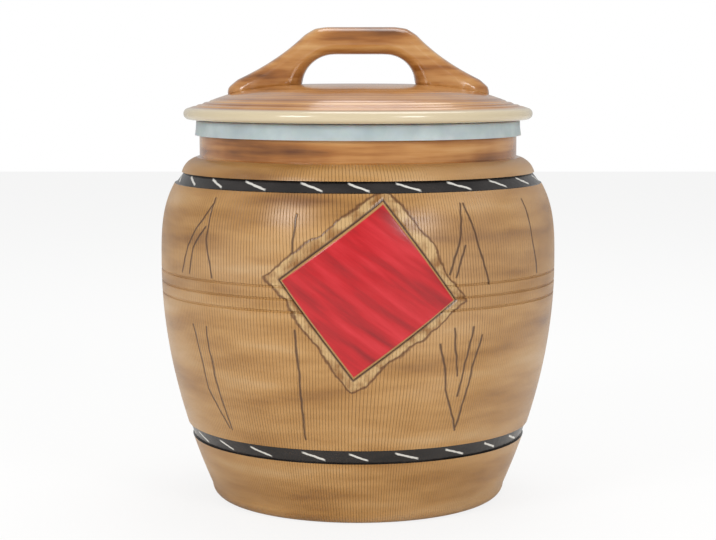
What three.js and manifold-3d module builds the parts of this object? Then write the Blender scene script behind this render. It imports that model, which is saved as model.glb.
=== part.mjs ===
// Rice storage jar: a stoneware barrel jar with carved hoops, a square plaque luted to its
// front, a silicone gasket stretched over its mouth, and a domed lid with a bridge handle.
// Millimetres, +Z up, -Y is the front, origin at the centre of the foot on the ground.

import * as THREE from 'three';
import { mergeVertices } from 'three/addons/utils/BufferGeometryUtils.js';
import Module from 'manifold-3d';

const wasm = await Module();
wasm.setup();

// Driving dimensions

const TURN_STEPS = 56; // facets around every turned piece
const SEAT_GAP = 0.3; // between pieces that rest on each other

const wall = {
  thickness: 8, // stoneware wall of the jar
  floor: 10, // floor above the recess under the jar
  floorFillet: 16, // inside, between floor and wall
};

const foot = {
  radius: 105, // wall just above the rounded foot
  corner: 9, // round between the wall and the ground
  ringWidth: 14, // flat ring that the jar stands on
  recess: 2.5, // hollow inside that ring
  fullness: 1.93, // how fast the lower wall leaves the belly
};

const belly = {
  radius: 140, // widest place
  height: 165,
};

const shoulder = {
  radius: 125, // where the barrel ends and the shoulder slope starts
  height: 232,
  fullness: 3.45, // how fast the upper wall leaves the belly
  swell: 3.6, // how far the slope to the neck bulges over a straight line
};

const neck = {
  radius: 112.3,
  base: 243, // height where it rises from the shoulder
  top: 266.2, // height of the mouth's lip
  lipRound: 3.5,
};

const bands = [
  { bottom: 44.8, height: 9.7, depth: 1.2 }, // painted band over the foot
  { bottom: 224.4, height: 7.6, depth: 1.5 }, // painted band under the shoulder
];
const BAND_BEVEL = 0.4; // slope of a band's two edges

const hoop = {
  middle: 156.2, // height of the middle one of three cut lines
  pitch: 8.1,
  lines: 3,
  width: 1.8,
  depth: 0.9,
};

const plaque = {
  width: 85,
  height: 80.5,
  turn: 36.7, // degrees that its width rises from the horizontal
  azimuth: 2.8, // degrees that its centre lies to the right of the front
  centre: 162, // height of its centre
  proud: 2.2, // how far its face stands off the wall
  bevel: 1.6, // sloping edge, measured across
  cells: 12, // facets along a side
};

const gasket = {
  thickness: 2,
  outerSkirt: 11, // depth of the outer skirt below the gasket's top
  innerSkirt: 9, // depth of the skirt inside the mouth
  flare: 0.9, // how far the outer skirt leans out at its edge
  round: 0.8,
};

const lid = {
  radius: 123.5,
  edge: 7.9, // thickness of the rim's rounded edge
  crown: 24.7, // height of the dome's top above the lid's underside
  slopeStart: 94, // radius where the dome turns into a straight slope
  slope: 0.34, // fall of that slope for each millimetre outwards
  thickness: 7,
  flangeClearance: 1, // between the flange and the gasket's inner skirt
  flangeDepth: 15,
  flangeWall: 6,
};

const handle = {
  halfSpan: 94, // from the middle to the outer end of a foot
  crownHalf: 34, // half the flat top
  crownRound: 8.5,
  barHeight: 19.3, // thickness of the bar over the finger gap
  gapHeight: 20.6, // finger gap over the top of the dome
  gapFlatHalf: 18, // half the flat part of the gap's roof
  gapHalf: 39.7,
  incline: 25, // slope of the top of a foot, in degrees
  toeHeight: 8.5, // height of a foot's outer end over the lid
  toeRound: 8,
  halfDepth: 14, // half its depth, front to back, at the crown
  footHalfDepth: 17, // the same where it meets the lid
  lean: 2, // the crown sits this far to the right of the middle
  squareness: 2.8, // 2 is an elliptical section, more is squarer
  stations: 28,
  sectionPoints: 18,
};

// Heights and radii that follow from the driving dimensions

const neckInner = neck.radius - wall.thickness;
const gasketTop = neck.top + SEAT_GAP + gasket.thickness;
const gasketInner = neckInner - SEAT_GAP - gasket.thickness;
const lidUnderside = gasketTop + SEAT_GAP;
const domeTop = lidUnderside + lid.crown;
const flangeRadius = gasketInner - lid.flangeClearance;

// Helpers

const point = (r, z) => new THREE.Vector2(r, z);
const radians = THREE.MathUtils.degToRad;

function arc(centreR, centreZ, radiusR, radiusZ, fromDeg, toDeg, steps) {
  return Array.from({ length: steps + 1 }, (_, i) => {
    const a = radians(fromDeg + ((toDeg - fromDeg) * i) / steps);
    return point(centreR + radiusR * Math.cos(a), centreZ + radiusZ * Math.sin(a));
  });
}

function bend(start, control, end, steps) {
  return new THREE.QuadraticBezierCurve(start, control, end).getPoints(steps);
}

// Evenly spaced values between two ends, with both ends left out.
function between(from, to, spacing) {
  const steps = Math.max(1, Math.round((to - from) / spacing));
  return Array.from({ length: steps - 1 }, (_, i) => from + ((to - from) * (i + 1)) / steps);
}

// A profile of (radius, height) points turned about the Z axis.
function turned(profile) {
  return new THREE.LatheGeometry(profile, TURN_STEPS).rotateX(Math.PI / 2);
}

function toSolid(geometry) {
  const bare = new THREE.BufferGeometry().setAttribute('position', geometry.getAttribute('position'));
  bare.setIndex(geometry.index);
  const merged = mergeVertices(bare, 1e-4);
  return new wasm.Manifold(new wasm.Mesh({
    numProp: 3,
    vertProperties: new Float32Array(merged.attributes.position.array),
    triVerts: new Uint32Array(merged.index.array),
  }));
}

function toGeometry(solid) {
  const mesh = solid.getMesh();
  const geometry = new THREE.BufferGeometry();
  geometry.setAttribute('position', new THREE.BufferAttribute(mesh.vertProperties, 3));
  geometry.setIndex(new THREE.BufferAttribute(mesh.triVerts, 1));
  geometry.computeVertexNormals();
  return geometry;
}

// Rings of equally many points, joined in order and closed with a fan at each end.
function lofted(rings) {
  const count = rings[0].length;
  const positions = rings.flat().flatMap((p) => [p.x, p.y, p.z]);
  const triangles = [];
  for (let i = 0; i + 1 < rings.length; i++) {
    for (let j = 0; j < count; j++) {
      const a = i * count + j;
      const b = i * count + ((j + 1) % count);
      triangles.push(a, b, b + count, a, b + count, a + count);
    }
  }
  const last = (rings.length - 1) * count;
  for (let j = 1; j + 1 < count; j++) {
    triangles.push(0, j + 1, j, last, last + j, last + j + 1);
  }
  const geometry = new THREE.BufferGeometry();
  geometry.setAttribute('position', new THREE.Float32BufferAttribute(positions, 3));
  geometry.setIndex(triangles);
  geometry.computeVertexNormals();
  return geometry;
}

// The barrel's outer wall

function barrelRadius(z) {
  if (z <= belly.height) {
    const fall = (belly.height - z) / (belly.height - foot.corner);
    return belly.radius - (belly.radius - foot.radius) * fall ** foot.fullness;
  }
  const rise = (z - belly.height) / (shoulder.height - belly.height);
  return belly.radius - (belly.radius - shoulder.radius) * rise ** shoulder.fullness;
}

const onBarrel = (z, inset = 0) => point(barrelRadius(z) - inset, z);

// The slope from the barrel up to the neck, as a bulging curve.
function shoulderSlope(steps) {
  const start = point(barrelRadius(shoulder.height), shoulder.height);
  const end = point(neck.radius, neck.base);
  const across = end.clone().sub(start).normalize();
  const control = start.clone().add(end).multiplyScalar(0.5);
  control.add(point(across.y, -across.x).multiplyScalar(2 * shoulder.swell));
  return bend(start, control, end, steps);
}

function bandCut({ bottom, height, depth }) {
  const top = bottom + height;
  return [
    onBarrel(bottom),
    onBarrel(bottom + BAND_BEVEL, depth),
    onBarrel(top - BAND_BEVEL, depth),
    onBarrel(top),
  ];
}

function hoopCut(z) {
  return [onBarrel(z - hoop.width / 2), onBarrel(z, hoop.depth), onBarrel(z + hoop.width / 2)];
}

// Cuts in the wall from the foot upwards, with plain wall filled in between them.
function barrelOutline(spacing) {
  const hoopHeights = Array.from(
    { length: hoop.lines },
    (_, i) => hoop.middle + (i - (hoop.lines - 1) / 2) * hoop.pitch,
  );
  const cuts = [bandCut(bands[0]), ...hoopHeights.map(hoopCut), bandCut(bands[1])];
  const outline = [];
  let reached = foot.corner;
  for (const cut of cuts) {
    outline.push(...between(reached, cut[0].y, spacing).map((z) => onBarrel(z)), ...cut);
    reached = cut.at(-1).y;
  }
  outline.push(...between(reached, shoulder.height, spacing).map((z) => onBarrel(z)));
  return outline;
}

// The hollow: the outer wall moved inwards by its thickness, from the neck down to the floor.
function hollowOutline(spacing) {
  const floorTop = foot.recess + wall.floor;
  const outer = [
    ...between(foot.corner, shoulder.height, spacing).map((z) => onBarrel(z)),
    ...shoulderSlope(4),
  ];
  const inner = [];
  for (let i = 1; i + 1 < outer.length; i++) {
    const along = outer[i + 1].clone().sub(outer[i - 1]).normalize();
    inner.push(point(outer[i].x - along.y * wall.thickness, outer[i].y + along.x * wall.thickness));
  }
  const wallStart = floorTop + wall.floorFillet;
  const kept = inner.filter((p) => p.x > neckInner + 1 || p.y < belly.height);
  const side = kept.filter((p) => p.y > wallStart + 2);
  const corner = point(barrelRadius(floorTop) - wall.thickness, floorTop);
  const low = bend(
    point(corner.x - wall.floorFillet, floorTop),
    corner,
    point(barrelRadius(wallStart) - wall.thickness, wallStart),
    5,
  );
  const underNeck = side.at(-1).y + (side.at(-1).x - neckInner) * 0.5;
  return [point(0, floorTop), ...low, ...side, point(neckInner, underNeck)];
}

function lipOutline() {
  const z = neck.top - neck.lipRound;
  const r = neck.lipRound;
  return [
    ...arc(neck.radius - r, z, r, r, 0, 90, 4),
    ...arc(neckInner + r, z, r, r, 90, 180, 4),
  ];
}

function jarBody() {
  const flat = foot.radius - foot.corner;
  const ringInner = flat - foot.ringWidth;
  return turned([
    point(0, foot.recess),
    point(ringInner - foot.recess, foot.recess),
    point(ringInner, 0),
    ...arc(flat, foot.corner, foot.corner, foot.corner, -90, 0, 5),
    ...barrelOutline(13),
    ...shoulderSlope(4),
    ...lipOutline(),
    ...hollowOutline(20).reverse(),
  ]);
}

// A square slab wrapped on the barrel: its face stands off the wall and its edges slope back.
function frontPlaque() {
  const n = plaque.cells;
  const cos = Math.cos(radians(plaque.turn));
  const sin = Math.sin(radians(plaque.turn));
  const wrapped = (u, v, offset) => {
    const z = plaque.centre + u * sin + v * cos;
    const r = barrelRadius(z) + offset;
    const azimuth = radians(plaque.azimuth) + (u * cos - v * sin) / belly.radius;
    return new THREE.Vector3(r * Math.sin(azimuth), -r * Math.cos(azimuth), z);
  };
  // Square rings from the middle of the back, round the edge, to the middle of the face.
  const ring = (halfU, halfV, offset) => {
    const corners = [[-1, -1], [1, -1], [1, 1], [-1, 1]];
    return corners.flatMap(([x, y], side) => {
      const [nextX, nextY] = corners[(side + 1) % corners.length];
      return Array.from({ length: n }, (_, i) => wrapped(
        halfU * (x + ((nextX - x) * i) / n),
        halfV * (y + ((nextY - y) * i) / n),
        offset,
      ));
    });
  };
  const shares = Array.from({ length: n / 2 }, (_, i) => (i + 0.5) / (n / 2));
  const [w, h, b] = [plaque.width / 2, plaque.height / 2, plaque.bevel];
  return lofted([
    ...shares.map((s) => ring(w * s, h * s, SEAT_GAP)),
    ring(w, h, SEAT_GAP),
    ring(w, h, plaque.proud - b / 2),
    ...shares.map((s) => ring((w - b) * s, (h - b) * s, plaque.proud)).reverse(),
  ]);
}

// An inverted channel that grips the lip of the mouth from both sides.
function gasketRing() {
  const outer = neck.radius + SEAT_GAP;
  const under = neck.top + SEAT_GAP;
  const t = gasket.thickness;
  const skirtEnd = gasketTop - gasket.outerSkirt;
  const section = [
    point(outer + gasket.flare, skirtEnd),
    point(outer + gasket.flare + t, skirtEnd),
    ...arc(outer + t - gasket.round, gasketTop - gasket.round, gasket.round, gasket.round, 0, 90, 2),
    ...arc(gasketInner + gasket.round, gasketTop - gasket.round, gasket.round, gasket.round, 90, 180, 2),
    point(gasketInner, gasketTop - gasket.innerSkirt),
    point(gasketInner + t, gasketTop - gasket.innerSkirt),
    point(gasketInner + t, under),
    point(outer, under),
  ];
  return turned([...section, section[0].clone()]);
}

// Height of the lid's top face: a flattened dome that turns into a straight slope.
function lidTop(r) {
  const power = 4;
  const fall = (lid.slope * lid.slopeStart) / power;
  if (r <= lid.slopeStart) return domeTop - fall * (r / lid.slopeStart) ** power;
  return domeTop - fall - lid.slope * (r - lid.slopeStart);
}

function lidCover() {
  const edgeRound = 4;
  const edgeMiddle = lidUnderside + lid.edge / 2;
  const flangeInner = flangeRadius - lid.flangeWall;
  const flangeEnd = lidUnderside - lid.flangeDepth;
  const rimTop = lid.radius - edgeRound;
  const domeRadii = [...between(0, rimTop, 15)];
  const top = domeRadii.map((r) => point(r, lidTop(r)));
  const ceiling = domeRadii
    .filter((r) => r < flangeInner - 6)
    .map((r) => point(r, lidTop(r) - lid.thickness));
  const ceilingEdge = point(flangeInner, lidTop(flangeInner) - lid.thickness);
  return turned([
    point(0, domeTop - lid.thickness),
    ...ceiling,
    point(ceilingEdge.x - 4, ceilingEdge.y),
    point(ceilingEdge.x, ceilingEdge.y - 4),
    point(flangeInner, flangeEnd + 1.5),
    point(flangeInner + 1.5, flangeEnd),
    point(flangeRadius - 1.5, flangeEnd),
    point(flangeRadius, flangeEnd + 1.5),
    point(flangeRadius, lidUnderside),
    ...arc(rimTop, edgeMiddle, edgeRound, lid.edge / 2, -90, 80, 6),
    ...top.reverse(),
    point(0, domeTop),
  ]);
}

// The two outlines of the handle, seen from the front, from the crown to the right foot.
function handleGuides() {
  const roof = domeTop + handle.gapHeight;
  const top = roof + handle.barHeight;
  const buried = lidTop(handle.halfSpan) - 2;
  const turnEnd = point(
    handle.crownHalf + handle.crownRound * Math.SQRT1_2,
    top - handle.crownRound * Math.SQRT1_2,
  );
  const toeX = handle.halfSpan - handle.toeRound;
  const toeZ = lidTop(toeX) + handle.toeHeight;
  // The flank leaves the crown at 45 degrees and reaches the toe at the foot's incline.
  const rise = Math.tan(radians(handle.incline));
  const elbowX = (turnEnd.y + turnEnd.x - toeZ - rise * toeX) / (1 - rise);
  const elbow = point(elbowX, turnEnd.y + turnEnd.x - elbowX);
  const outer = new THREE.CurvePath();
  outer.add(new THREE.LineCurve(point(0, top), point(handle.crownHalf - handle.crownRound, top)));
  outer.add(new THREE.QuadraticBezierCurve(
    point(handle.crownHalf - handle.crownRound, top),
    point(handle.crownHalf, top),
    turnEnd,
  ));
  outer.add(new THREE.QuadraticBezierCurve(turnEnd, elbow, point(toeX, toeZ)));
  outer.add(new THREE.QuadraticBezierCurve(
    point(toeX, toeZ),
    point(handle.halfSpan, toeZ - rise * handle.toeRound),
    point(handle.halfSpan, buried),
  ));
  const inner = new THREE.CurvePath();
  inner.add(new THREE.LineCurve(point(0, roof), point(handle.gapFlatHalf, roof)));
  inner.add(new THREE.EllipseCurve(
    handle.gapFlatHalf, domeTop,
    handle.gapHalf - handle.gapFlatHalf, handle.gapHeight,
    Math.PI / 2, 0, true,
  ));
  inner.add(new THREE.LineCurve(point(handle.gapHalf, domeTop), point(handle.gapHalf, buried)));
  return [outer, inner];
}

// A rounded section spans the two outlines at each station, from the left foot to the right.
function handleRing(outerPoint, innerPoint, depth) {
  const power = 2 / handle.squareness;
  const half = outerPoint.clone().sub(innerPoint).multiplyScalar(0.5);
  const middle = outerPoint.clone().add(innerPoint).multiplyScalar(0.5);
  return Array.from({ length: handle.sectionPoints }, (_, i) => {
    const a = (2 * Math.PI * i) / handle.sectionPoints;
    const across = Math.sign(Math.cos(a)) * Math.abs(Math.cos(a)) ** power;
    const deep = Math.sign(Math.sin(a)) * Math.abs(Math.sin(a)) ** power;
    return new THREE.Vector3(middle.x + half.x * across, -depth * deep, middle.y + half.y * across);
  });
}

function lidHandle() {
  const steps = handle.stations / 2;
  const [outer, inner] = handleGuides().map((guide) => guide.getSpacedPoints(steps));
  const top = outer[0].y;
  const low = outer[steps].y;
  const leaned = (p, side) => {
    const height = Math.max(0, (p.y - low) / (top - low));
    return point(side * p.x + handle.lean * height, p.y);
  };
  const ringAt = (i, side) => {
    const share = (i / steps) ** 2;
    const depth = handle.halfDepth + (handle.footHalfDepth - handle.halfDepth) * share;
    return handleRing(leaned(outer[i], side), leaned(inner[i], side), depth);
  };
  const left = Array.from({ length: steps }, (_, i) => ringAt(steps - i, -1));
  const right = Array.from({ length: steps + 1 }, (_, i) => ringAt(i, 1));
  const strap = toSolid(lofted([...left, ...right]));
  // The feet are cut to sit on the dome, a seat gap above it.
  const seat = toSolid(turned([
    point(0, lidUnderside - lid.flangeDepth),
    point(lid.radius, lidUnderside - lid.flangeDepth),
    point(lid.radius, lidTop(lid.radius) + SEAT_GAP),
    ...between(0, lid.radius, 8).map((r) => point(r, lidTop(r) + SEAT_GAP)).reverse(),
    point(0, domeTop + SEAT_GAP),
  ]));
  return toGeometry(strap.subtract(seat));
}

// The assembly

function ware(name, geometry, color, roughness) {
  const material = new THREE.MeshStandardMaterial({ color, roughness, metalness: 0 });
  const mesh = new THREE.Mesh(geometry, material);
  mesh.name = name;
  return mesh;
}

const jar = new THREE.Group();
jar.add(ware('jar_body', jarBody(), 0xb98848, 0.35));
jar.add(ware('front_plaque', frontPlaque(), 0xb3141c, 0.3));

const mouthGasket = new THREE.Group();
mouthGasket.add(ware('gasket_ring', gasketRing(), 0xc4c8cb, 0.5));

const coveredLid = new THREE.Group();
coveredLid.add(ware('lid_cover', lidCover(), 0xa8692f, 0.25));
coveredLid.add(ware('lid_handle', lidHandle(), 0xb57a38, 0.25));

const riceJar = new THREE.Group();
riceJar.add(jar, mouthGasket, coveredLid);

export default riceJar;
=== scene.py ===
import math

import bpy
import numpy as np
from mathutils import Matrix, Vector


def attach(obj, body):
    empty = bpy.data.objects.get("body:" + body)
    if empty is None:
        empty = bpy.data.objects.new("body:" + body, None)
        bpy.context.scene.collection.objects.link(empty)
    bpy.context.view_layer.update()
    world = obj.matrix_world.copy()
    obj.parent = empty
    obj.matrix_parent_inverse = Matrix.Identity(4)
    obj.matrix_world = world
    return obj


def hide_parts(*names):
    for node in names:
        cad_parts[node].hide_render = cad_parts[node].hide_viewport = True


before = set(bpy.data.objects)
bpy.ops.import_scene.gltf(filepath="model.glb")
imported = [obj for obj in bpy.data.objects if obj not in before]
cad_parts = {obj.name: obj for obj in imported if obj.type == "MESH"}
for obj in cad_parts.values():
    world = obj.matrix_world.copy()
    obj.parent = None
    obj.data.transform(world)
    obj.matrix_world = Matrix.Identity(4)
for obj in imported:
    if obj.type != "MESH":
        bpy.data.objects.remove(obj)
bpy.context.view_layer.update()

MM = 0.001

# Barrel, millimetres, as the solids have it
BELLY_R, BELLY_Z = 139.95, 165
FOOT_R, FOOT_CORNER = 105, 9
SHOULDER_R, SHOULDER_Z = 125, 232
LOWER_FULLNESS, UPPER_FULLNESS = 1.93, 3.45
NECK_R, NECK_Z, LIP_Z = 112.3, 243, 266.2
LIP_ROUND = 3.5
WALL = 8
FLOOR_Z = 12.5
RING_IN, RECESS = 82, 2.5
BANDS = ((44.8, 9.7, 1.2), (224.4, 7.6, 1.5))
HOOPS = (148.1, 156.2, 164.3)
HOOP_W, HOOP_D = 1.8, 0.9

# Lid, millimetres
LID_UNDER, DOME_TOP, LID_WALL = 268.8, 293.5, 7
DOME_R, DOME_SLOPE, DOME_POWER = 94, 0.34, 4
RIM_R, RIM_MIDDLE, RIM_ROUND, RIM_SQUASH = 119.5, 272.75, 4, 3.95 / 4
FLANGE_IN, FLANGE_OUT, FLANGE_END, FLANGE_EASE = 95, 101, 253.8, 1.5
RING_FROM, RING_TO, RING_DEPTH = 102, 117, 0.35

# Gasket, millimetres
GASKET_TOP, GASKET_ROUND = 268.3, 1.0
GASKET_OUT, GASKET_IN, GASKET_WALL = 114.6, 102.0, 2

# Plaque, millimetres and degrees
PLAQUE_W, PLAQUE_H, PLAQUE_TURN = 85, 80.5, 36.7
PLAQUE_AZ, PLAQUE_Z, PLAQUE_PROUD = 2.8, 162, 2.2

# Carved lines as (degrees round from the front, height in mm), each from its top down
CARVED = (
    ((-45, 219), (-46, 192), (-44, 167)),
    ((-45, 216), (-55, 186), (-58, 168)),
    ((-47, 200), (-52, 185), (-54, 168)),
    ((-17, 211), (-18, 181)),
    ((30, 217), (28, 190), (25, 172)),
    ((31, 217), (35, 186), (38, 164)),
    ((30, 190), (27, 170)),
    ((55, 217), (60, 167)),
    ((-47, 133), (-46, 100), (-43, 63)),
    ((-53, 133), (-50, 90), (-44, 64)),
    ((-17, 136), (-16, 62)),
    ((23, 126), (26, 95), (31, 66)),
    ((36, 130), (33, 95), (31, 68)),
    ((27, 136), (29, 104)),
    ((33, 136), (30, 90)),
)

SPIN_STEPS = 288


def clear_selection():
    for thing in bpy.context.selected_objects:
        thing.select_set(False)
    bpy.context.view_layer.objects.active = None


def barrel(z):
    if z <= BELLY_Z:
        fall = (BELLY_Z - z) / (BELLY_Z - FOOT_CORNER)
        return BELLY_R - (BELLY_R - FOOT_R) * fall ** LOWER_FULLNESS
    rise = (z - BELLY_Z) / (SHOULDER_Z - BELLY_Z)
    return BELLY_R - (BELLY_R - SHOULDER_R) * rise ** UPPER_FULLNESS


def arc(cr, cz, radius, start, end, steps, squash=1.0):
    turns = [math.radians(start + (end - start) * i / steps) for i in range(steps + 1)]
    return [(cr + radius * math.cos(a), cz + radius * squash * math.sin(a)) for a in turns]


def spun(name, profile, closed):
    """A vertex is drawn along the profile by extrusion and the line is spun about Z."""
    clear_selection()
    bpy.ops.mesh.primitive_plane_add(size=0.01, location=(0, 0, 0))
    piece = bpy.context.object
    piece.name = name
    bpy.ops.object.mode_set(mode="EDIT")
    bpy.ops.mesh.merge(type="CENTER")
    first = Vector((profile[0][0] * MM, 0, profile[0][1] * MM))
    bpy.ops.transform.translate(value=first)
    at = first
    for r, z in profile[1:] + ([profile[0]] if closed else []):
        to = Vector((r * MM, 0, z * MM))
        bpy.ops.mesh.extrude_region_move(TRANSFORM_OT_translate={"value": to - at})
        at = to
    bpy.ops.mesh.select_all(action="SELECT")
    bpy.ops.mesh.spin(steps=SPIN_STEPS, angle=2 * math.pi, center=(0, 0, 0), axis=(0, 0, 1))
    bpy.ops.mesh.select_all(action="SELECT")
    bpy.ops.mesh.remove_doubles(threshold=2e-5)
    bpy.ops.mesh.normals_make_consistent(inside=False)
    bpy.ops.object.mode_set(mode="OBJECT")
    bpy.ops.object.shade_smooth_by_angle(angle=math.radians(38))
    return piece


def jar_profile():
    line = [(0, RECESS), (RING_IN - 3, RECESS), (RING_IN, 0.4), (RING_IN + 1, 0)]
    line += arc(FOOT_R - FOOT_CORNER, FOOT_CORNER, FOOT_CORNER, -90, 0, 10)
    cuts = []
    for bottom, height, depth in BANDS:
        top = bottom + height
        cuts.append([(barrel(bottom), bottom), (barrel(bottom) - depth, bottom + 0.4),
                     (barrel(top) - depth, top - 0.4), (barrel(top), top)])
    for z in HOOPS:
        shares = [-1, -0.6, -0.2, 0.2, 0.6, 1]
        cuts.append([(barrel(z + s * HOOP_W / 2) - HOOP_D * (1 - s * s), z + s * HOOP_W / 2)
                     for s in shares])
    z = FOOT_CORNER
    for cut in sorted(cuts, key=lambda c: c[0][1]) + [[(SHOULDER_R, SHOULDER_Z)]]:
        steps = max(1, round((cut[0][1] - z) / 3))
        line += [(barrel(z + (cut[0][1] - z) * i / steps), z + (cut[0][1] - z) * i / steps)
                 for i in range(1, steps)]
        line += cut
        z = cut[-1][1]
    control = (122.6, 240.6)
    for i in range(1, 9):
        t = i / 8
        line.append(tuple((1 - t) ** 2 * a + 2 * t * (1 - t) * c + t * t * b for a, c, b
                          in zip((SHOULDER_R, SHOULDER_Z), control, (NECK_R, NECK_Z))))
    line += [(NECK_R, NECK_Z + 8), (NECK_R, NECK_Z + 16)]
    line += arc(NECK_R - LIP_ROUND, LIP_Z - LIP_ROUND, LIP_ROUND, 0, 90, 6)
    line += arc(NECK_R - WALL + LIP_ROUND, LIP_Z - LIP_ROUND, LIP_ROUND, 90, 180, 6)
    line += [(NECK_R - WALL, 250), (NECK_R - WALL, 240), (NECK_R - WALL + 2, 234)]
    for step in range(1, 20):
        z = 228 - (228 - 32) * step / 19
        line.append((barrel(z) - WALL - (2 if z > 215 else 0), z))
    corner = barrel(FLOOR_Z) - WALL
    line += arc(corner - 16, FLOOR_Z + 16, 16, 0, -90, 6)
    return line + [(0, FLOOR_Z)]


def lid_top(r):
    """The dome is flat in the middle and turns into a straight slope."""
    fall = DOME_SLOPE * DOME_R / DOME_POWER
    if r <= DOME_R:
        return DOME_TOP - fall * (r / DOME_R) ** DOME_POWER
    return DOME_TOP - fall - DOME_SLOPE * (r - DOME_R)


def lid_profile():
    line = [(0, DOME_TOP - LID_WALL)]
    line += [(r, lid_top(r) - LID_WALL) for r in range(15, 90, 15)]
    line += [(FLANGE_IN - 4, 279.6), (FLANGE_IN, 275.5)]
    line += [(FLANGE_IN, FLANGE_END + FLANGE_EASE), (FLANGE_IN + FLANGE_EASE, FLANGE_END)]
    line += [(FLANGE_OUT - FLANGE_EASE, FLANGE_END), (FLANGE_OUT, FLANGE_END + FLANGE_EASE)]
    line += [(FLANGE_OUT, LID_UNDER), (110, LID_UNDER)]
    line += arc(RIM_R, RIM_MIDDLE, RIM_ROUND, -90, 80, 16, RIM_SQUASH)
    # Throwing rings run round the dome near its rim.
    for r in [RING_TO - i * 0.75 for i in range(20)]:
        dip = RING_DEPTH * (1 + math.cos((r - 111) * 1.3)) * (RING_FROM < r < RING_TO)
        line.append((r, lid_top(r) - dip))
    return line + [(r, lid_top(r)) for r in range(RING_FROM, 0, -3)] + [(0, DOME_TOP)]


def gasket_profile():
    """An inverted channel over the lip, whose outer skirt leans out a little."""
    level = GASKET_TOP - GASKET_ROUND
    under = LIP_Z + 0.3
    section = [(113.5, 257.7), (115.5, 257.7), (114.8, 263)]
    section += arc(GASKET_OUT - GASKET_ROUND, level, GASKET_ROUND, 0, 90, 4)
    section += arc(GASKET_IN + GASKET_ROUND, level, GASKET_ROUND, 90, 180, 4)
    section += [(GASKET_IN, 259.5), (GASKET_IN + GASKET_WALL, 259.5)]
    return section + [(GASKET_IN + GASKET_WALL, under), (GASKET_OUT - GASKET_WALL, under)]


def plaque_piece():
    """A grid is thickened and wrapped on the barrel, with a soft slope at its edge."""
    clear_selection()
    bpy.ops.mesh.primitive_grid_add(x_subdivisions=110, y_subdivisions=104, size=2)
    piece = bpy.context.object
    piece.name = "plaque_slab"
    bpy.ops.object.mode_set(mode="EDIT")
    bpy.ops.mesh.select_all(action="SELECT")
    bpy.ops.mesh.extrude_region_move(TRANSFORM_OT_translate={"value": (0, 0, -1)})
    bpy.ops.mesh.select_all(action="SELECT")
    bpy.ops.mesh.normals_make_consistent(inside=False)
    bpy.ops.object.mode_set(mode="OBJECT")
    cos, sin = math.cos(math.radians(PLAQUE_TURN)), math.sin(math.radians(PLAQUE_TURN))
    rng = np.random.default_rng(7)
    waves = rng.uniform(0.05, 0.4, (6, 2))
    starts = rng.uniform(0, 6.28, 6)
    low = min(v.co.z for v in piece.data.vertices)
    high = max(v.co.z for v in piece.data.vertices)
    for vert in piece.data.vertices:
        front = (vert.co.z - low) / (high - low) < 0.5
        a, b = vert.co.x, vert.co.y
        edge = min(PLAQUE_W / 2 * (1 - abs(a)), PLAQUE_H / 2 * (1 - abs(b)))
        u, v = a * PLAQUE_W / 2, b * PLAQUE_H / 2
        swell = sum(math.sin(u * w[0] + v * w[1] + s) for w, s in zip(waves, starts)) / 6
        height = PLAQUE_PROUD - 1.5 * max(0, 1 - edge / 1.8) ** 2 - 0.12 * (1 + swell)
        offset = height if front else -0.6
        z = PLAQUE_Z + u * sin + v * cos
        az = math.radians(PLAQUE_AZ) + (u * cos - v * sin) / 140
        r = barrel(z) + offset
        vert.co = (r * math.sin(az) * MM, -r * math.cos(az) * MM, z * MM)
    clear_selection()
    piece.select_set(True)
    bpy.context.view_layer.objects.active = piece
    bpy.ops.object.mode_set(mode="EDIT")
    bpy.ops.mesh.select_all(action="SELECT")
    bpy.ops.mesh.normals_make_consistent(inside=False)
    bpy.ops.object.mode_set(mode="OBJECT")
    bpy.ops.object.shade_smooth_by_angle(angle=math.radians(50))
    return piece


def handle_piece():
    """The strap is remeshed finely and its edges are softened, as under a thick glaze."""
    source = bpy.data.objects["lid_handle"]
    piece = bpy.data.objects.new("bridge_handle", source.data.copy())
    bpy.context.scene.collection.objects.link(piece)
    piece.data.materials.clear()
    clear_selection()
    piece.select_set(True)
    bpy.context.view_layer.objects.active = piece
    bpy.ops.object.mode_set(mode="EDIT")
    bpy.ops.mesh.select_all(action="SELECT")
    bpy.ops.mesh.remove_doubles(threshold=1e-6)
    bpy.ops.object.mode_set(mode="OBJECT")
    remesh = piece.modifiers.new("fine", "REMESH")
    remesh.mode = "VOXEL"
    remesh.voxel_size = 1.0 * MM
    bpy.ops.object.modifier_apply(modifier=remesh.name)
    smooth = piece.modifiers.new("soft", "SMOOTH")
    smooth.factor = 0.5
    smooth.iterations = 12
    bpy.ops.object.modifier_apply(modifier=smooth.name)
    # The feet run down into the dome, so that no seam shows.
    for vert in piece.data.vertices:
        r = math.hypot(vert.co.x, vert.co.y) / MM
        above = vert.co.z / MM - lid_top(r)
        if above < 2.5:
            vert.co.z -= (2.5 - above) * 0.6 * MM
    bpy.ops.object.shade_smooth()
    return piece


# Materials

def srgb(code):
    parts = [int(code[i:i + 2], 16) / 255 for i in (1, 3, 5)]
    return tuple(c / 12.92 if c <= 0.04045 else ((c + 0.055) / 1.055) ** 2.4
                 for c in parts) + (1,)


def add(tree, kind, links=(), **settings):
    """One node, its settings, and a link or value for each of its inputs that is named."""
    made = tree.nodes.new("ShaderNode" + kind)
    for key, value in settings.items():
        setattr(made, key, value)
    for socket, value in dict(links).items():
        if isinstance(value, bpy.types.NodeSocket):
            tree.links.new(value, made.inputs[socket])
        else:
            made.inputs[socket].default_value = value
    return made


def math_node(tree, operation, *values):
    return add(tree, "Math", dict(enumerate(values)), operation=operation).outputs[0]


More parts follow.
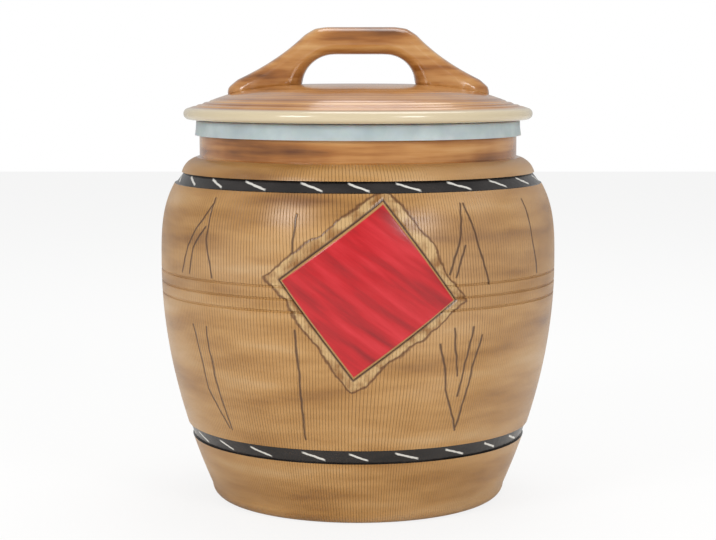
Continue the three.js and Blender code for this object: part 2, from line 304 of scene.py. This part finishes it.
def ramp(tree, factor, stops):
    made = add(tree, "ValToRGB", {0: factor})
    elements = made.color_ramp.elements
    elements[0].position, elements[0].color = stops[0][0], srgb(stops[0][1])
    elements[1].position, elements[1].color = stops[-1][0], srgb(stops[-1][1])
    for position, code in stops[1:-1]:
        elements.new(position).color = srgb(code)
    return made.outputs[0]


def blend_colour(tree, factor, a, b):
    made = add(tree, "Mix", data_type="RGBA")
    for socket, value in zip((made.inputs[0], made.inputs[6], made.inputs[7]), (factor, a, b)):
        if isinstance(value, bpy.types.NodeSocket):
            tree.links.new(value, socket)
        else:
            socket.default_value = value
    return made.outputs[2]


def start(name, roughness, **sockets):
    material = bpy.data.materials.new(name)
    material.use_nodes = True
    tree = material.node_tree
    shader = tree.nodes["Principled BSDF"]
    shader.inputs["Roughness"].default_value = roughness
    for key, value in sockets.items():
        shader.inputs[key.replace("_", " ")].default_value = value
    where = add(tree, "TexCoord").outputs["Object"]
    axes = add(tree, "SeparateXYZ", {0: where})
    across = math_node(tree, "MULTIPLY", axes.outputs[1], -1.0)
    azimuth = math_node(tree, "ARCTAN2", axes.outputs[0], across)
    return material, tree, shader, where, axes, azimuth


def noise(tree, where, scale, stretch, detail=4.0, seed=(0, 0, 0)):
    mapping = add(tree, "Mapping", {"Vector": where, "Scale": stretch, "Location": seed})
    return add(tree, "TexNoise", {"Vector": mapping.outputs[0], "Scale": scale,
                                  "Detail": detail}).outputs[0]


def finish_material(tree, shader, colour, height, depth_mm):
    tree.links.new(colour, shader.inputs["Base Color"])
    bump = add(tree, "Bump", {"Height": height, "Distance": depth_mm * MM, "Strength": 0.8})
    tree.links.new(bump.outputs[0], shader.inputs["Normal"])


def plaque_distance(tree, axes, azimuth):
    """How far a point lies outside the plaque's square, in millimetres."""
    u = math_node(tree, "MULTIPLY", math_node(
        tree, "SUBTRACT", azimuth, math.radians(PLAQUE_AZ)), 140.0)
    v = math_node(tree, "SUBTRACT", math_node(
        tree, "MULTIPLY", axes.outputs[2], 1000.0), float(PLAQUE_Z))
    cos, sin = math.cos(math.radians(PLAQUE_TURN)), math.sin(math.radians(PLAQUE_TURN))
    along = math_node(tree, "ADD", math_node(tree, "MULTIPLY", u, cos),
                      math_node(tree, "MULTIPLY", v, sin))
    up = math_node(tree, "SUBTRACT", math_node(tree, "MULTIPLY", v, cos),
                   math_node(tree, "MULTIPLY", u, sin))
    beside = math_node(tree, "SUBTRACT", math_node(tree, "ABSOLUTE", along), PLAQUE_W / 2)
    above = math_node(tree, "SUBTRACT", math_node(tree, "ABSOLUTE", up), PLAQUE_H / 2)
    return math_node(tree, "MAXIMUM", beside, above)


def carved_distance(tree, axes, azimuth):
    """Millimetres to the nearest carved line; the front's pattern comes again at the back."""
    folded = add(tree, "Math", {0: azimuth, 1: math.pi / 2, 2: -math.pi / 2},
                 operation="WRAP").outputs[0]
    here = add(tree, "CombineXYZ", {
        0: math_node(tree, "MULTIPLY", folded, 140.0),
        1: math_node(tree, "MULTIPLY", axes.outputs[2], 1000.0)}).outputs[0]
    wander = add(tree, "TexNoise", {"Vector": here, "Scale": 0.05, "Detail": 2.0}).outputs[1]
    here = add(tree, "VectorMath", {0: wander, 1: (5, 0, 0), 2: here},
               operation="MULTIPLY_ADD").outputs[0]
    nearest = 99.0
    for line in CARVED:
        for a, b in zip(line, line[1:]):
            base = Vector((math.radians(a[0]) * 140 + 2.5, a[1], 0))
            run = Vector((math.radians(b[0]) * 140 + 2.5, b[1], 0)) - base
            off = add(tree, "VectorMath", {0: here, 1: base}, operation="SUBTRACT").outputs[0]
            dot = add(tree, "VectorMath", {0: off, 1: run}, operation="DOT_PRODUCT")
            share = add(tree, "Math", {0: dot.outputs["Value"], 1: 1 / run.length_squared},
                        operation="MULTIPLY", use_clamp=True).outputs[0]
            foot = add(tree, "VectorMath", {0: run, "Scale": share}, operation="SCALE").outputs[0]
            gap = add(tree, "VectorMath", {0: off, 1: foot}, operation="DISTANCE")
            nearest = math_node(tree, "MINIMUM", gap.outputs["Value"], nearest)
    return nearest


def wood_glaze():
    """Glossy stoneware glaze, brushed in washes over cut grain lines 2.4 mm apart."""
    material, tree, shader, where, axes, azimuth = start("brushed_wood_glaze", 0.3, IOR=1.5)
    washes = noise(tree, where, 9.0, (1, 1, 6), 6.0)
    # Pale grey-pink clouds over the washes are painted sheen, standing in for the glaze's
    # reflection.
    sheen_clouds = noise(tree, where, 7.0, (1, 1, 1.4), 3.0, (3, 1, 2))
    colour = ramp(tree, washes, ((0.26, "#7d5228"), (0.42, "#a5773f"),
                                 (0.56, "#b98c54"), (0.78, "#c9a577")))
    painted_sheen = ramp(tree, sheen_clouds, ((0.5, "#000000"), (0.72, "#8c8c8c")))
    colour = blend_colour(tree, painted_sheen, colour, srgb("#bfa287"))
    # The grain lines follow a slow noise, which bends some into pointed arches.
    bends = noise(tree, where, 5.0, (1, 1, 0.45), 2.0, (5, 2, 0))
    lines = 2 * math.pi * 140 / 2.4 / 2
    phase = math_node(tree, "ADD", math_node(tree, "MULTIPLY", azimuth, float(round(lines))),
                      math_node(tree, "MULTIPLY", bends, 70.0))
    wave = math_node(tree, "ABSOLUTE", math_node(tree, "SINE", phase))
    breaks = noise(tree, where, 60.0, (1, 1, 0.25), 2.0)
    thin = math_node(tree, "ADD", wave, math_node(tree, "MULTIPLY", breaks, 0.28))
    groove = add(tree, "MapRange", {0: thin, 1: 0.16, 2: 0.46, 3: 0.0, 4: 1.0}).outputs[0]
    edge = plaque_distance(tree, axes, azimuth)
    rim = add(tree, "MapRange", {0: edge, 1: 0.4, 2: 2.2, 3: 0.0, 4: 1.0}).outputs[0]
    patches = noise(tree, where, 16.0, (1, 1, 0.5), 3.0, (9, 4, 1))
    strength = add(tree, "MapRange", {0: patches, 1: 0.35, 2: 0.68, 3: 0.12, 4: 0.6}).outputs[0]
    inked = math_node(tree, "MULTIPLY", math_node(tree, "SUBTRACT", 1.0, groove), strength)
    colour = blend_colour(tree, inked, colour, srgb("#4a2a10"))
    cut = add(tree, "MapRange", {0: carved_distance(tree, axes, azimuth), 1: 0.35, 2: 1.1})
    cut = cut.outputs[0]
    colour = blend_colour(tree, math_node(tree, "MULTIPLY", math_node(
        tree, "SUBTRACT", 1.0, cut), 0.85), colour, srgb("#3c1f0b"))
    # A torn edge of paler clay runs round the plaque, ending in a dark ragged line.
    torn = noise(tree, where, 55.0, (1, 1, 1), 4.0, (2, 7, 3))
    ragged = math_node(tree, "ADD", edge, math_node(tree, "MULTIPLY", torn, 13.0))
    clay = add(tree, "MapRange", {0: ragged, 1: 13.2, 2: 14.2, 3: 1.0, 4: 0.0}).outputs[0]
    slips = ramp(tree, noise(tree, where, 120.0, (1, 1, 1), 3.0), ((0.35, "#8a5c2c"),
                                                                  (0.6, "#cbaa78")))
    colour = blend_colour(tree, math_node(tree, "MULTIPLY", clay, 0.75), colour, slips)
    border = math_node(tree, "ABSOLUTE", math_node(tree, "SUBTRACT", ragged, 14.0))
    line = add(tree, "MapRange", {0: border, 1: 0.3, 2: 1.3, 3: 0.8, 4: 0.0}).outputs[0]
    colour = blend_colour(tree, line, colour, srgb("#5a3212"))
    # A dark strip just outside the plaque's foot is partly its incised outline and partly painted
    # shade in the crease.
    incised_line_and_shade = add(tree, "MapRange", {0: edge, 1: 0.9, 2: 1.8, 3: 0.9, 4: 0.0}).outputs[0]
    colour = blend_colour(tree, incised_line_and_shade, colour, srgb("#3a1c0a"))
    lumps = math_node(tree, "MULTIPLY", clay, torn)
    kept = math_node(tree, "ADD", math_node(tree, "MULTIPLY", groove, cut), lumps)
    kept = math_node(tree, "MULTIPLY", kept, rim)
    finish_material(tree, shader, colour, kept, 0.5)
    return material


def band_glaze():
    """Black iron glaze in the bands, with white slip dashes painted about 36 mm apart."""
    material, tree, shader, where, axes, azimuth = start("black_band_glaze", 0.25, IOR=1.5)
    height = math_node(tree, "MULTIPLY", axes.outputs[2], 1000.0)
    ragged = noise(tree, where, 220.0, (1, 1, 2), 3.0)
    count = 22
    drift = noise(tree, where, 9.0, (1, 1, 0.1), 1.0)
    turns = math_node(tree, "MULTIPLY", azimuth, count / (2 * math.pi))
    place = math_node(tree, "FRACT", math_node(tree, "ADD", turns, drift))
    pitch = 2 * math.pi * 125 / count
    along = math_node(tree, "MULTIPLY", math_node(tree, "SUBTRACT", place, 0.5), pitch)
    low, high = (b + h / 2 for b, h, d in BANDS)
    upper = math_node(tree, "GREATER_THAN", height, 140.0)
    middle = add(tree, "MapRange", {0: upper, 3: low, 4: high}).outputs[0]
    fall = math_node(tree, "MULTIPLY", along, 0.3)
    off = math_node(tree, "ADD", math_node(tree, "SUBTRACT", height, middle), fall)
    off = math_node(tree, "ABSOLUTE", math_node(tree, "ADD", off, math_node(
        tree, "MULTIPLY", math_node(tree, "SUBTRACT", ragged, 0.5), 1.2)))
    thin = add(tree, "MapRange", {0: off, 1: 0.45, 2: 0.85, 3: 1.0, 4: 0.0}).outputs[0]
    ends = add(tree, "MapRange", {0: math_node(tree, "ABSOLUTE", along), 1: 7.0, 2: 8.5,
                                  3: 1.0, 4: 0.0}).outputs[0]
    dash = math_node(tree, "MULTIPLY", thin, ends)
    tone = ramp(tree, noise(tree, where, 30.0, (1, 1, 4)), ((0.35, "#14100e"), (0.7, "#2c2725")))
    colour = blend_colour(tree, dash, tone, srgb("#d9d6cf"))
    finish_material(tree, shader, colour, ragged, 0.3)
    return material


def streaked_glaze(name, stops, stretch, scale, edge=None):
    """Transparent amber glaze dragged by a brush while the piece turned."""
    material, tree, shader, where, axes, azimuth = start(name, 0.2, IOR=1.5, Coat_Weight=0.4)
    radius = add(tree, "VectorMath", {0: add(tree, "CombineXYZ", {
        0: axes.outputs[0], 1: axes.outputs[1]}).outputs[0]}, operation="LENGTH").outputs["Value"]
    ringed = add(tree, "CombineXYZ", {0: radius, 1: math_node(tree, "MULTIPLY", azimuth, 0.02),
                                      2: axes.outputs[2]}).outputs[0]
    source = where if edge is None else ringed
    streaks = noise(tree, source, scale, stretch, 6.0)
    soft = noise(tree, where, 18.0, (1, 1, 1), 3.0)
    mixed = math_node(tree, "ADD", math_node(tree, "MULTIPLY", streaks, 0.7),
                      math_node(tree, "MULTIPLY", soft, 0.3))
    colour = ramp(tree, mixed, stops)
    if edge is not None:
        worn = add(tree, "MapRange", {0: radius, 1: edge[0] * MM, 2: edge[1] * MM}).outputs[0]
        colour = blend_colour(tree, worn, colour, srgb("#cfbf9f"))
    finish_material(tree, shader, colour, streaks, 0.25)
    return material


def red_glaze():
    """Copper-red glaze brushed on the plaque, darker where it pooled."""
    material, tree, shader, where, axes, azimuth = start("brushed_red_glaze", 0.28, IOR=1.5)
    turn = (0, math.radians(-PLAQUE_TURN), 0)
    turned = add(tree, "Mapping", {"Vector": where, "Rotation": turn}).outputs[0]
    streaks = noise(tree, turned, 14.0, (1, 1, 9), 6.0)
    colour = ramp(tree, streaks, ((0.3, "#8c0b12"), (0.5, "#b8101a"), (0.72, "#cf2a33")))
    edge = plaque_distance(tree, axes, azimuth)
    rim = add(tree, "MapRange", {0: edge, 1: -1.6, 2: -0.9}).outputs[0]
    colour = blend_colour(tree, rim, colour, srgb("#b58a55"))
    finish_material(tree, shader, colour, streaks, 0.3)
    return material


def silicone():
    """Translucent moulded silicone, matt and milky, with a faint cloud of dust."""
    material, tree, shader, where, _, _ = start(
        "moulded_silicone", 0.42, IOR=1.41, Transmission_Weight=0.25, Subsurface_Weight=0.3)
    dust = noise(tree, where, 60.0, (1, 1, 1))
    colour = ramp(tree, dust, ((0.35, "#c9cccc"), (0.7, "#e2e3e1")))
    finish_material(tree, shader, colour, dust, 0.1)
    return material


def in_band(centre):
    z = centre.z / MM
    r = math.hypot(centre.x, centre.y) / MM
    return any(b < z < b + h and r > barrel(z) - d - 0.6 for b, h, d in BANDS)


# The pieces

jar = spun("stoneware_jar", jar_profile(), False)
plaque = plaque_piece()
gasket = spun("silicone_gasket", gasket_profile(), True)
cover = spun("domed_lid", lid_profile(), False)
handle = handle_piece()

amber = ((0.34, "#5c3212"), (0.45, "#9c632c"), (0.54, "#b98247"), (0.68, "#cfa269"))
jar.data.materials.append(wood_glaze())
jar.data.materials.append(band_glaze())
jar.data.materials.append(streaked_glaze("neck_amber_glaze", amber, (1, 1, 14), 8.0))
for face in jar.data.polygons:
    if in_band(face.center):
        face.material_index = 1
    elif face.center.z / MM > NECK_Z - 0.5:
        face.material_index = 2
plaque.data.materials.append(red_glaze())
gasket.data.materials.append(silicone())
cover.data.materials.append(
    streaked_glaze("dome_amber_glaze", amber, (60, 1, 1), 8.0, edge=(117, 121)))
handle.data.materials.append(streaked_glaze("handle_amber_glaze", amber, (1, 3, 9), 14.0))

for piece, body, node_name, finish_slot in (
    (jar, "jar", "jar_body", "jar_glaze"),
    (plaque, "jar", "front_plaque", "plaque_glaze"),
    (gasket, "gasket", "gasket_ring", "gasket"),
    (cover, "lid", "lid_cover", "lid_glaze"),
    (handle, "lid", "lid_handle", "handle_glaze"),
):
    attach(piece, body)
    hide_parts(node_name)

# Set, light and camera

clear_selection()
bpy.ops.mesh.primitive_plane_add(size=8, location=(0, 0, 0))
ground = bpy.context.object
ground.name = "floor"
paper = bpy.data.materials.new("matt_paper")
paper.use_nodes = True
paper.node_tree.nodes["Principled BSDF"].inputs["Base Color"].default_value = srgb("#f4f4f2")
paper.node_tree.nodes["Principled BSDF"].inputs["Roughness"].default_value = 0.9
ground.data.materials.append(paper)
# The paper shows white to the camera and keeps a share of the jar's shadow.
glow = add(paper.node_tree, "Emission", {1: 1.0})
seen = add(paper.node_tree, "LightPath").outputs["Is Camera Ray"]
share = math_node(paper.node_tree, "MULTIPLY", seen, 0.82)
both = add(paper.node_tree, "MixShader", {
    0: share, 1: paper.node_tree.nodes["Principled BSDF"].outputs[0], 2: glow.outputs[0]})
paper.node_tree.links.new(both.outputs[0], paper.node_tree.nodes["Material Output"].inputs[0])

world = bpy.data.worlds.new("soft_room")
bpy.context.scene.world = world
world.use_nodes = True
sky = world.node_tree
seen = add(sky, "LightPath").outputs["Is Camera Ray"]
level = add(sky, "MapRange", {0: seen, 3: 0.55, 4: 1.0}).outputs[0]
sky.links.new(level, sky.nodes["Background"].inputs["Strength"])
sky.nodes["Background"].inputs["Color"].default_value = (1, 1, 1, 1)

# Softboxes to the left, to the right and over the jar: place in metres, size and watts
SOFTBOXES = (
    ((-1.3, -1.5, 1.1), 0.7, 16),
    ((1.1, -1.6, 0.9), 0.6, 12),
    ((0.2, 0.6, 1.9), 1.2, 14),
)
for place, size, power in SOFTBOXES:
    lamp = bpy.data.lights.new("softbox", "AREA")
    lamp.size = size
    lamp.energy = power
    holder = bpy.data.objects.new("softbox", lamp)
    holder.location = place
    aim = Vector((0, 0, 0.17)) - Vector(place)
    holder.rotation_euler = aim.to_track_quat("-Z", "Y").to_euler()
    bpy.context.scene.collection.objects.link(holder)

# The camera was fitted to the outline in the photograph.
CAMERA_PLACE, CAMERA_PITCH, FOCAL_MM, SENSOR_MM = (0, -1.2922, 0.3059), 6.415, 91.16, 36
lens = bpy.data.cameras.new("camera")
lens.lens = FOCAL_MM
lens.sensor_width = SENSOR_MM
camera = bpy.data.objects.new("camera", lens)
camera.location = CAMERA_PLACE
camera.rotation_euler = (math.radians(90 - CAMERA_PITCH), 0, 0)
bpy.context.scene.collection.objects.link(camera)
bpy.context.scene.camera = camera
bpy.context.scene.view_settings.view_transform = "Standard"
